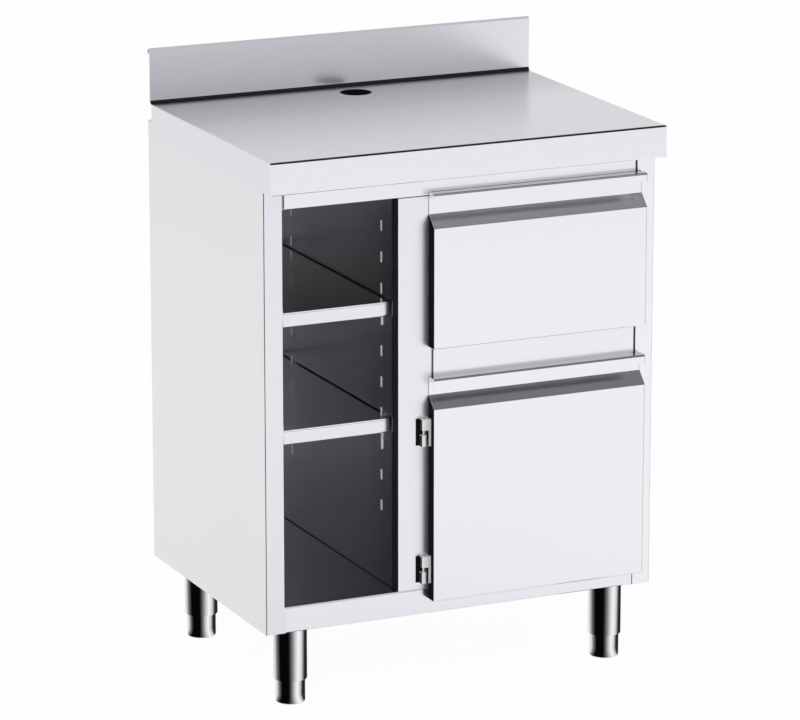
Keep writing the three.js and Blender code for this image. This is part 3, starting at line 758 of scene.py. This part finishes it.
@dataclass
class Carcass:
    """Worktop, body panels and front frame, with the cable hole's sleeve, thin trims and painted
    shade.
    """

    body: str = "carcass"
    hole_from_upstand: float = 50.0 * MM
    upstand_fold: float = 8.0 * MM
    sleeve_radius: float = 24.6 * MM
    sleeve_wall: float = 1.2 * MM
    sleeve_sink: float = 0.4 * MM
    sheet: float = 1.5 * MM
    seat: float = 0.3 * MM
    strip: float = 1.2 * MM
    shade_edging: float = 0.25 * MM
    edging_setback: float = 1.2 * MM
    seam_left: float = 3.4 * MM
    seam_right: float = 1.0 * MM
    seam_lift: float = 0.02 * MM
    steps: int = 72

    def dress(self, shop: Workshop) -> None:
        """Give the panels their finishes.

        Args:
            shop: the workshop that makes the pieces.
        """
        shop.dress(WORKTOP_STEEL, "worktop")
        for where in ("front", "rear_left", "rear_right"):
            shop.dress(BOARD, f"worktop_board_{where}")
        shop.dress(LEFT_STEEL, "side_left")
        shop.dress(BACK_STEEL, "back_panel")
        shop.dress(RIGHT_STEEL, "side_right")
        shop.dress(STILE_STEEL, "mid_stile")
        shop.dress(RAIL_STEEL, "top_rail", "mid_rail", "bottom_tray")
        shop.dress(WALL_STEEL, "partition_bay", "partition_door", "upright_front", "upright_rear")
        shop.dress(MAGNET, "door_magnet")

    def build(self, shop: Workshop) -> None:
        """Build the sleeve and the trims.

        Args:
            shop: the workshop that makes the pieces.
        """
        self._sleeve(shop)
        self._seam(shop)
        self._closing_strip(shop)
        self._edging(shop)

    def _sleeve(self, shop: Workshop) -> None:
        """Line the cable hole with a dark sleeve.

        Args:
            shop: the workshop that makes the pieces.
        """
        board_low, board_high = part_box("worktop_board_front")
        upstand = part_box("worktop")[1].y - self.upstand_fold
        top = board_high.z + self.sheet - self.sleeve_sink
        inner = self.sleeve_radius - self.sleeve_wall
        profile = [
            (inner, board_low.z),
            (self.sleeve_radius, board_low.z),
            (self.sleeve_radius, top),
            (inner, top),
            (inner, board_low.z),
        ]
        centre = ((board_low.x + board_high.x) / 2, upstand - self.hole_from_upstand)
        sleeve = spun(profile, centre, self.steps)
        shop.piece("cable_sleeve", sleeve, DARK_TRIM_AND_SHADE, self.body, smooth=True)

    def _edging(self, shop: Workshop) -> None:
        """Line the mid stile's return, in the open bay, with a thin dark strip of painted shade.

        Args:
            shop: the workshop that makes the pieces.
        """
        low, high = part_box("mid_stile")
        corners = [
            (low.y + self.edging_setback, low.z),
            (high.y, low.z),
            (high.y, high.z),
            (low.y + self.edging_setback, high.z),
        ]
        outline = [Vector((low.x, y, z)) for y, z in corners]
        shade_edging = slab(outline, Vector((-self.shade_edging, 0.0, 0.0)))
        # Painted shade: a dark strip over the mid stile's return.
        shop.piece("stile_edging", shade_edging, BAY_SEAL_AND_SHADE, self.body)

    def _closing_strip(self, shop: Workshop) -> None:
        """Close the worktop's rear edge, behind the boards, with a folded-down strip.

        Args:
            shop: the workshop that makes the pieces.
        """
        left_low, left_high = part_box("worktop_board_rear_left")
        right_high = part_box("worktop_board_rear_right")[1]
        rear = left_high.y + self.seat
        corners = [
            (left_low.x, left_low.z),
            (right_high.x, left_low.z),
            (right_high.x, left_high.z),
            (left_low.x, left_high.z),
        ]
        outline = [Vector((x, rear, z)) for x, z in corners]
        strip = slab(outline, Vector((0.0, self.strip, 0.0)))
        shop.piece("rear_closing_strip", strip, BACK_STEEL, self.body)

    def _seam(self, shop: Workshop) -> None:
        """Fill the joint between the left stile and the bottom rail, as a ground weld does.

        Args:
            shop: the workshop that makes the pieces.
        """
        side_low, side_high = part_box("side_left")
        tray_low, tray_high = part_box("bottom_tray")
        left, right = side_high.x - self.seam_left, side_high.x + self.seam_right
        bottom, top = tray_low.z + self.seat, tray_high.z - self.seat
        corners = [(left, bottom), (right, bottom), (right, top), (left, top)]
        outline = [Vector((x, side_low.y - self.seam_lift, z)) for x, z in corners]
        seam = slab(outline, Vector((0.0, self.sheet, 0.0)))
        shop.piece("weld_seam", seam, LEFT_STEEL, self.body)


@dataclass
class Bay:
    """Open bay: shelves, clips, pale inserts with painted glow in its right wall's slots, the
    wall's seal.
    """

    body: str = "carcass"
    slot_count: int = 10
    slot_pitch: float = 48.4 * MM
    slot_below_rail: float = 44.4 * MM
    slot_length: float = 17.0 * MM
    slot_width: float = 7.0 * MM
    clearance: float = 0.4 * MM
    sheet: float = 1.5 * MM
    tongue: float = 2.4 * MM
    bead: float = 1.4 * MM

    def dress(self, shop: Workshop) -> None:
        """Give the shelves and clips their finishes.

        Args:
            shop: the workshop that makes the pieces.
        """
        shop.dress(SHELF_STEEL, "shelf_upper", "shelf_lower")
        clips = [name for name in shop.nodes if name.startswith("clip_")]
        shop.dress(CLIP_STEEL, *clips)

    def build(self, shop: Workshop) -> None:
        """Fill the slots of the bay's right wall and seal its foot.

        Args:
            shop: the workshop that makes the pieces.
        """
        self._inserts(shop)
        low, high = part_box("partition_bay")
        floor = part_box("bottom_tray")[1].z
        corner = [(0.0, 0.0), (-self.bead, 0.0), (0.0, self.bead)]
        outline = [Vector((low.x + x, low.y, floor + z)) for x, z in corner]
        bead = slab(outline, Vector((0.0, high.y - low.y, 0.0)))
        shop.piece("wall_bead", bead, BAY_SEAL_AND_SHADE, self.body)

    def _inserts(self, shop: Workshop) -> None:
        """Press a pale insert with a painted glow into each slot.

        Args:
            shop: the workshop that makes the pieces.
        """
        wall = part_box("partition_bay")[0].x
        rail_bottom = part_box("top_rail")[0].z
        for end in ("front", "rear"):
            row = sum(corner.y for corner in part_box(f"clip_upper_{end}_right")) / 2
            for index in range(self.slot_count):
                first = rail_bottom - self.slot_below_rail - self.slot_length / 2
                centre = first - index * self.slot_pitch
                low = centre - self.slot_length / 2 + self.clearance
                if self._holds_clip(end, centre):
                    low += self.tongue
                high = centre + self.slot_length / 2 - self.clearance
                half = self.slot_width / 2 - self.clearance
                near, far = row - half, row + half
                corners = [(near, low), (far, low), (far, high), (near, high)]
                flush = wall + self.clearance / 2
                outline = [Vector((flush, y, z)) for y, z in corners]
                insert = slab(outline, Vector((self.sheet - self.clearance / 2, 0.0, 0.0)))
                name = f"slot_insert_{end}_{index}"
                shop.piece(name, insert, INSERT_PAINTED_GLOW, self.body)

    def _holds_clip(self, end: str, centre: float) -> bool:
        """Tell whether a clip hooks into a slot.

        Args:
            end: which row of slots, front or rear.
            centre: height of the slot's middle.

        Returns:
            Whether a clip of that row lies at that height.
        """
        for level in SHELF_LEVELS:
            low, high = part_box(f"clip_{level}_{end}_right")
            if low.z < centre < high.z + self.slot_length / 2:
                return True
        return False


@dataclass
class Front:
    """A drawer or door front: folded skin, inner pan and dark end caps of painted shade."""

    name: str
    finish: SheetSteel
    grip_height: float
    slope_rise: float = 18.5 * MM
    cap_inset: float = 0.6 * MM
    cap_thickness: float = 0.2 * MM

    def dress(self, shop: Workshop) -> None:
        """Give the skin and the pan their finishes."""
        shop.dress(self.finish, f"{self.name}_front")
        shop.dress(PAN_STEEL, f"{self.name}_pan")

    def build(self, shop: Workshop) -> None:
        """Close both ends with a dark cap that paints the shade inside the folded end.

        Args:
            shop: the workshop that makes the pieces.
        """
        low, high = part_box(f"{self.name}_front")
        face_top = high.z - self.grip_height
        inset = self.cap_inset
        outline = [
            (high.y, low.z + inset),
            (low.y + inset, low.z + inset),
            (low.y + inset, face_top - inset),
            (high.y - 2 * inset, face_top + self.slope_rise - 2 * inset),
            (high.y, face_top + self.slope_rise - 2 * inset),
        ]
        ends = {"left": (low.x, -self.cap_thickness), "right": (high.x, self.cap_thickness)}
        for side, (x, thickness) in ends.items():
            corners = [Vector((x, y, z)) for y, z in outline]
            cap = slab(corners, Vector((thickness, 0.0, 0.0)))
            # Painted shade: a dark cap over each folded end.
            shop.piece(f"{self.name}_end_shade_cap_{side}", cap, DARK_TRIM_AND_SHADE, self.name)


@dataclass
class DrawerGear:
    """Drawer box and runners."""

    def dress(self, shop: Workshop) -> None:
        """Give the box and the runner members their finishes.

        Args:
            shop: the workshop that makes the pieces.
        """
        shop.dress(BOX_STEEL, "drawer_box")
        runners = [name for name in shop.nodes if name.startswith("runner_")]
        shop.dress(RUNNER_STEEL, *runners)


@dataclass
class Hinges:
    """Door hinges, the dark plates of painted shade under them and the catch's strike."""

    shade_packing: float = 0.25 * MM
    packing_reach: float = 5.0 * MM

    def dress(self, shop: Workshop) -> None:
        """Give the hinge parts and the strike their finish."""
        parts = [f"hinge_{part}_{level}" for part in ("frame", "door") for level in HINGE_LEVELS]
        shop.dress(HINGE_STEEL, *parts, "door_strike")

    def build(self, shop: Workshop) -> None:
        """Lay a dark plate of painted shade under each hinge."""
        for level in HINGE_LEVELS:
            self._packing(shop, level)

    def _packing(self, shop: Workshop, level: str) -> None:
        """Lay a thin dark plate between a hinge and the stile, painting the hinge's shadow and
        dark mirror image.

        Args:
            shop: the workshop that makes the pieces.
            level: which hinge, upper or lower.
        """
        low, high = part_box(f"hinge_frame_{level}")
        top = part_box(f"hinge_door_{level}")[1].z
        left = low.x - self.packing_reach
        corners = [(left, low.z), (high.x, low.z), (high.x, top), (left, top)]
        outline = [Vector((x, high.y, z)) for x, z in corners]
        shade_packing = slab(outline, Vector((0.0, self.shade_packing, 0.0)))
        # Painted shade: the plate stands for the hinge's shadow and dark mirror image on the
        # stile.
        shop.piece(f"hinge_packing_{level}", shade_packing, DARK_TRIM_AND_SHADE, "carcass")


@dataclass
class Legs:
    """Polished leg tubes and levelling feet, turned finer than the solids."""

    radius: float = 25.6 * MM
    flange_radius: float = 30.0 * MM
    flange: float = 3.0 * MM
    edge: float = 1.5 * MM
    foot_radius: float = 22.5 * MM
    foot_edge: float = 2.5 * MM
    edge_share: float = 0.3
    bore_clearance: float = 0.4 * MM
    steps: int = 96

    def build(self, shop: Workshop) -> None:
        """Turn four legs and four feet.

        Args:
            shop: the workshop that makes the pieces.
        """
        for place in LEG_PLACES:
            self._leg(shop, place)
            self._foot(shop, place)

    def _leg(self, shop: Workshop, place: str) -> None:
        """Turn one leg tube.

        Args:
            shop: the workshop that makes the pieces.
            place: which corner of the station.
        """
        low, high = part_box(f"leg_{place}")
        centre = ((low.x + high.x) / 2, (low.y + high.y) / 2)
        bore = self.foot_radius + self.bore_clearance
        under = high.z - self.flange
        rise = self.edge * self.edge_share
        profile = [
            (0.0, under),
            (bore, under),
            (bore, low.z),
            (self.radius - self.edge, low.z),
            (self.radius - rise, low.z + rise),
            (self.radius, low.z + self.edge),
            (self.radius, under),
            (self.flange_radius, under),
            (self.flange_radius, high.z),
            (0.0, high.z),
        ]
        tube = spun(profile, centre, self.steps)
        name = f"leg_tube_{place}"
        made = shop.piece(name, tube, LEG_STEEL, "carcass", smooth=True)
        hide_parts(f"leg_{place}")

    def _foot(self, shop: Workshop, place: str) -> None:
        """Turn one levelling foot.

        Args:
            shop: the workshop that makes the pieces.
            place: which corner of the station.
        """
        low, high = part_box(f"foot_{place}")
        centre = ((low.x + high.x) / 2, (low.y + high.y) / 2)
        rise = self.foot_edge * self.edge_share
        profile = [
            (0.0, low.z),
            (self.foot_radius - self.foot_edge, low.z),
            (self.foot_radius - rise, low.z + rise),
            (self.foot_radius, low.z + self.foot_edge),
            (self.foot_radius, high.z),
            (0.0, high.z),
        ]
        body = f"foot_{place}"
        foot = spun(profile, centre, self.steps)
        name = f"foot_turned_{place}"
        made = shop.piece(name, foot, LEG_STEEL, body, smooth=True)
        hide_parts(body)


@dataclass(frozen=True)
class Lamp:
    """A soft square lamp: its name, place in metres, power in watts and edge in metres."""

    name: str
    place: Place
    power: float
    size: float = 3.0


@dataclass
class Studio:
    """Camera, pale floor, soft lamps and the surroundings that the steel mirrors."""

    target: Place = (0.0098, 0.0346, 0.4554)
    azimuth: float = -24.67
    elevation: float = 14.77
    distance: float = 7.2823
    lens: float = 210.66
    sensor: float = 36.0
    clip_end: float = 100.0
    lamps: tuple[Lamp, ...] = (
        Lamp("key_lamp", (-2.6, -3.4, 4.2), 70.0),
        Lamp("fill_lamp", (3.4, -2.6, 3.4), 36.0),
        Lamp("rear_lamp", (0.5, 3.6, 3.6), 36.0),
    )
    floor_size: float = 30.0
    floor_colour: Colour = (0.86, 0.86, 0.87)
    floor_seen: float = 0.96
    floor_mirrored: float = 0.45
    diffuse_level: float = 0.66
    sky_front: tuple[Point, ...] = (
        (0.0, 0.86),
        (0.08, 0.72),
        (0.2, 0.56),
        (0.4, 0.50),
        (1.0, 0.60),
    )
    sky_rear: tuple[Point, ...] = ((0.0, 0.88), (0.2, 0.78), (0.45, 0.68), (1.0, 0.60))
    sky_turn: float = 0.6
    sky_blue: float = 1.01
    drum_inner: float = 23.0 * MM
    drum_lift: float = 0.5 * MM
    drum_radius: float = 42.0 * MM
    drum_height: float = 120.0 * MM
    drum_steps: int = 72
    drum_levels: tuple[Point, ...] = (
        (-180.0, 0.70),
        (-130.0, 0.85),
        (-112.0, 0.45),
        (-96.0, 0.13),
        (-78.0, 0.002),
        (-32.0, 0.002),
        (-26.0, 0.02),
        (-12.6, 0.18),
        (2.6, 0.60),
        (19.0, 0.99),
        (39.5, 0.68),
        (57.0, 0.10),
        (66.0, 0.02),
        (120.0, 0.02),
        (150.0, 0.40),
        (180.0, 0.70),
    )

    def build(self) -> None:
        """Set the view transform and make everything round the object."""
        bpy.context.scene.view_settings.view_transform = "Standard"
        self._camera()
        self._floor()
        self._surroundings()
        for lamp in self.lamps:
            self._hang(lamp)
        self._leg_drums()

    def _camera(self) -> None:
        """Place the camera at the photograph's viewing angle."""
        data = bpy.data.cameras.new("camera")
        data.sensor_fit = "HORIZONTAL"
        data.sensor_width = self.sensor
        data.lens = self.lens
        data.clip_end = self.clip_end
        camera = bpy.data.objects.new("camera", data)
        bpy.context.scene.collection.objects.link(camera)
        azimuth = math.radians(self.azimuth)
        elevation = math.radians(self.elevation)
        back = Vector(
            (
                math.sin(azimuth) * math.cos(elevation),
                -math.cos(azimuth) * math.cos(elevation),
                math.sin(elevation),
            )
        )
        camera.location = Vector(self.target) + back * self.distance
        camera.rotation_euler = back.to_track_quat("Z", "Y").to_euler()
        bpy.context.scene.camera = camera

    def _floor(self) -> None:
        """Lay a pale floor that shows white to the camera and keeps a soft shadow."""
        made = bmesh.new()
        bmesh.ops.create_grid(made, x_segments=1, y_segments=1, size=self.floor_size / 2)
        data = bpy.data.meshes.new("floor")
        made.to_mesh(data)
        made.free()
        material = bpy.data.materials.new("pale_floor")
        tree = Tree(material)
        dull = tree.node("ShaderNodeBsdfDiffuse", None, {"Color": (*self.floor_colour, 1.0)})
        white = tree.node("ShaderNodeEmission", None, {"Color": WHITE, "Strength": 1.0})
        path = tree.node("ShaderNodeLightPath")
        camera = Value(tree, path.outputs["Is Camera Ray"])
        glossy = Value(tree, path.outputs["Is Glossy Ray"])
        mirrored = glossy.most(path.outputs["Is Transmission Ray"])
        seen = self.floor_seen * camera + self.floor_mirrored * mirrored
        mixed = tree.node(
            "ShaderNodeMixShader", None, {0: seen, 1: dull.outputs[0], 2: white.outputs[0]}
        )
        tree.surface(mixed.outputs[0])
        data.materials.append(material)
        floor = bpy.data.objects.new("floor", data)
        bpy.context.scene.collection.objects.link(floor)

    def _surroundings(self) -> None:
        """Make a world that is white to the camera and falls off overhead for the steel."""
        world = bpy.data.worlds.new("studio")
        bpy.context.scene.world = world
        tree = Tree(world)
        _, depth, height = tree.parts(tree.node("ShaderNodeTexCoord").outputs["Generated"])
        front = self._sky(tree, height, self.sky_front)
        rear = self._sky(tree, height, self.sky_rear)
        turn = tree.node(
            "ShaderNodeMapRange", None, {0: depth, 1: -self.sky_turn, 2: self.sky_turn}
        )
        sky = tree.blend(Value(tree, turn.outputs[0]), front, rear)
        path = tree.node("ShaderNodeLightPath")
        mirrored = tree.node("ShaderNodeBackground", None, {"Color": sky, "Strength": 1.0})
        even = tree.node(
            "ShaderNodeBackground", None, {"Color": WHITE, "Strength": self.diffuse_level}
        )
        white = tree.node("ShaderNodeBackground", None, {"Color": WHITE, "Strength": 1.0})
        glossy = Value(tree, path.outputs["Is Glossy Ray"])
        lit = tree.node(
            "ShaderNodeMixShader", None, {0: glossy, 1: even.outputs[0], 2: mirrored.outputs[0]}
        )
        seen = Value(tree, path.outputs["Is Camera Ray"]).most(path.outputs["Is Transmission Ray"])
        whole = tree.node(
            "ShaderNodeMixShader", None, {0: seen, 1: lit.outputs[0], 2: white.outputs[0]}
        )
        tree.node("ShaderNodeOutputWorld", None, {"Surface": whole.outputs[0]})

    def _sky(self, tree: Tree, height: Value, stops: tuple[Point, ...]) -> bpy.types.NodeSocket:
        """A grey that changes with height.

        Args:
            tree: the world's tree.
            height: upward part of the ray.
            stops: pairs of height and grey.

        Returns:
            The grey's socket.
        """
        greys = [(place, (grey, grey, grey * self.sky_blue)) for place, grey in stops]
        return tree.node("ShaderNodeValToRGB", {"stops": greys}, {0: height}).outputs[0]

    def _leg_drums(self) -> None:
        """Stand a drum of dark and light sectors round each leg, seen only in its polish."""
        material = bpy.data.materials.new("drum_shades")
        tree = Tree(material)
        turn = tree.parts(tree.node("ShaderNodeTexCoord").outputs["UV"])[0]
        stops = [(angle / 360.0 + 0.5, (level,) * 3) for angle, level in self.drum_levels]
        shade = tree.node("ShaderNodeValToRGB", {"stops": stops}, {0: turn})
        glow = tree.node("ShaderNodeEmission", None, {"Color": shade.outputs[0], "Strength": 1.0})
        tree.surface(glow.outputs[0])
        for place in LEG_PLACES:
            low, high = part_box(f"leg_{place}")
            centre = ((low.x + high.x) / 2, (low.y + high.y) / 2)
            data = self._drum(f"leg_drum_{place}", centre)
            data.materials.append(material)
            drum = bpy.data.objects.new(data.name, data)
            drum.visible_camera = False
            drum.visible_diffuse = False
            drum.visible_shadow = False
            bpy.context.scene.collection.objects.link(drum)

    def _drum(self, name: str, centre: Point) -> bpy.types.Mesh:
        """Make one drum.

        Args:
            name: the mesh's name.
            centre: x and y of the leg's axis.

        Returns:
            A floor ring and a wall, whose u runs once round from the back over the left.
        """
        profile = [
            (self.drum_inner, self.drum_lift),
            (self.drum_radius, self.drum_lift),
            (self.drum_radius, self.drum_height),
        ]
        made = spun(profile, centre, self.drum_steps)
        turns = made.loops.layers.uv.new("turn")
        for face in made.faces:
            middle = self._heading(face.calc_center_median(), centre)
            for loop in face.loops:
                aside = math.remainder(self._heading(loop.vert.co, centre) - middle, math.tau)
                loop[turns].uv = ((middle + aside) / math.tau + 0.5, 0.5)
        data = bpy.data.meshes.new(name)
        made.to_mesh(data)
        made.free()
        return data

    @staticmethod
    def _heading(place: Vector, centre: Point) -> float:
        """The angle of a place round an axis, from the front over the right."""
        return math.atan2(place.x - centre[0], centre[1] - place.y)

    def _hang(self, lamp: Lamp) -> None:
        """Hang one soft lamp that looks at the object.

        Args:
            lamp: the lamp's name, place, power and size.
        """
        data = bpy.data.lights.new(lamp.name, "AREA")
        data.size = lamp.size
        data.energy = lamp.power
        made = bpy.data.objects.new(lamp.name, data)
        made.location = lamp.place
        towards = Vector(lamp.place) - Vector(self.target)
        made.rotation_euler = towards.to_track_quat("Z", "Y").to_euler()
        made.visible_camera = False
        made.visible_glossy = False
        bpy.context.scene.collection.objects.link(made)


def main() -> None:
    """Load the frame, dress it, and build the details and the studio."""
    logging.basicConfig(level=logging.INFO, format="%(name)s: %(message)s")
    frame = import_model()
    shop = Workshop(frame["nodes"])
    carcass = Carcass()
    carcass.dress(shop)
    carcass.build(shop)
    bay = Bay()
    bay.dress(shop)
    bay.build(shop)
    fronts = (
        Front("drawer", DRAWER_STEEL, grip_height=52.3 * MM),
        Front("door", DOOR_STEEL, grip_height=46.7 * MM),
    )
    for front in fronts:
        front.dress(shop)
        front.build(shop)
    DrawerGear().dress(shop)
    hinges = Hinges()
    hinges.dress(shop)
    hinges.build(shop)
    Legs().build(shop)
    Studio().build()


if __name__ == "__main__":
    main()
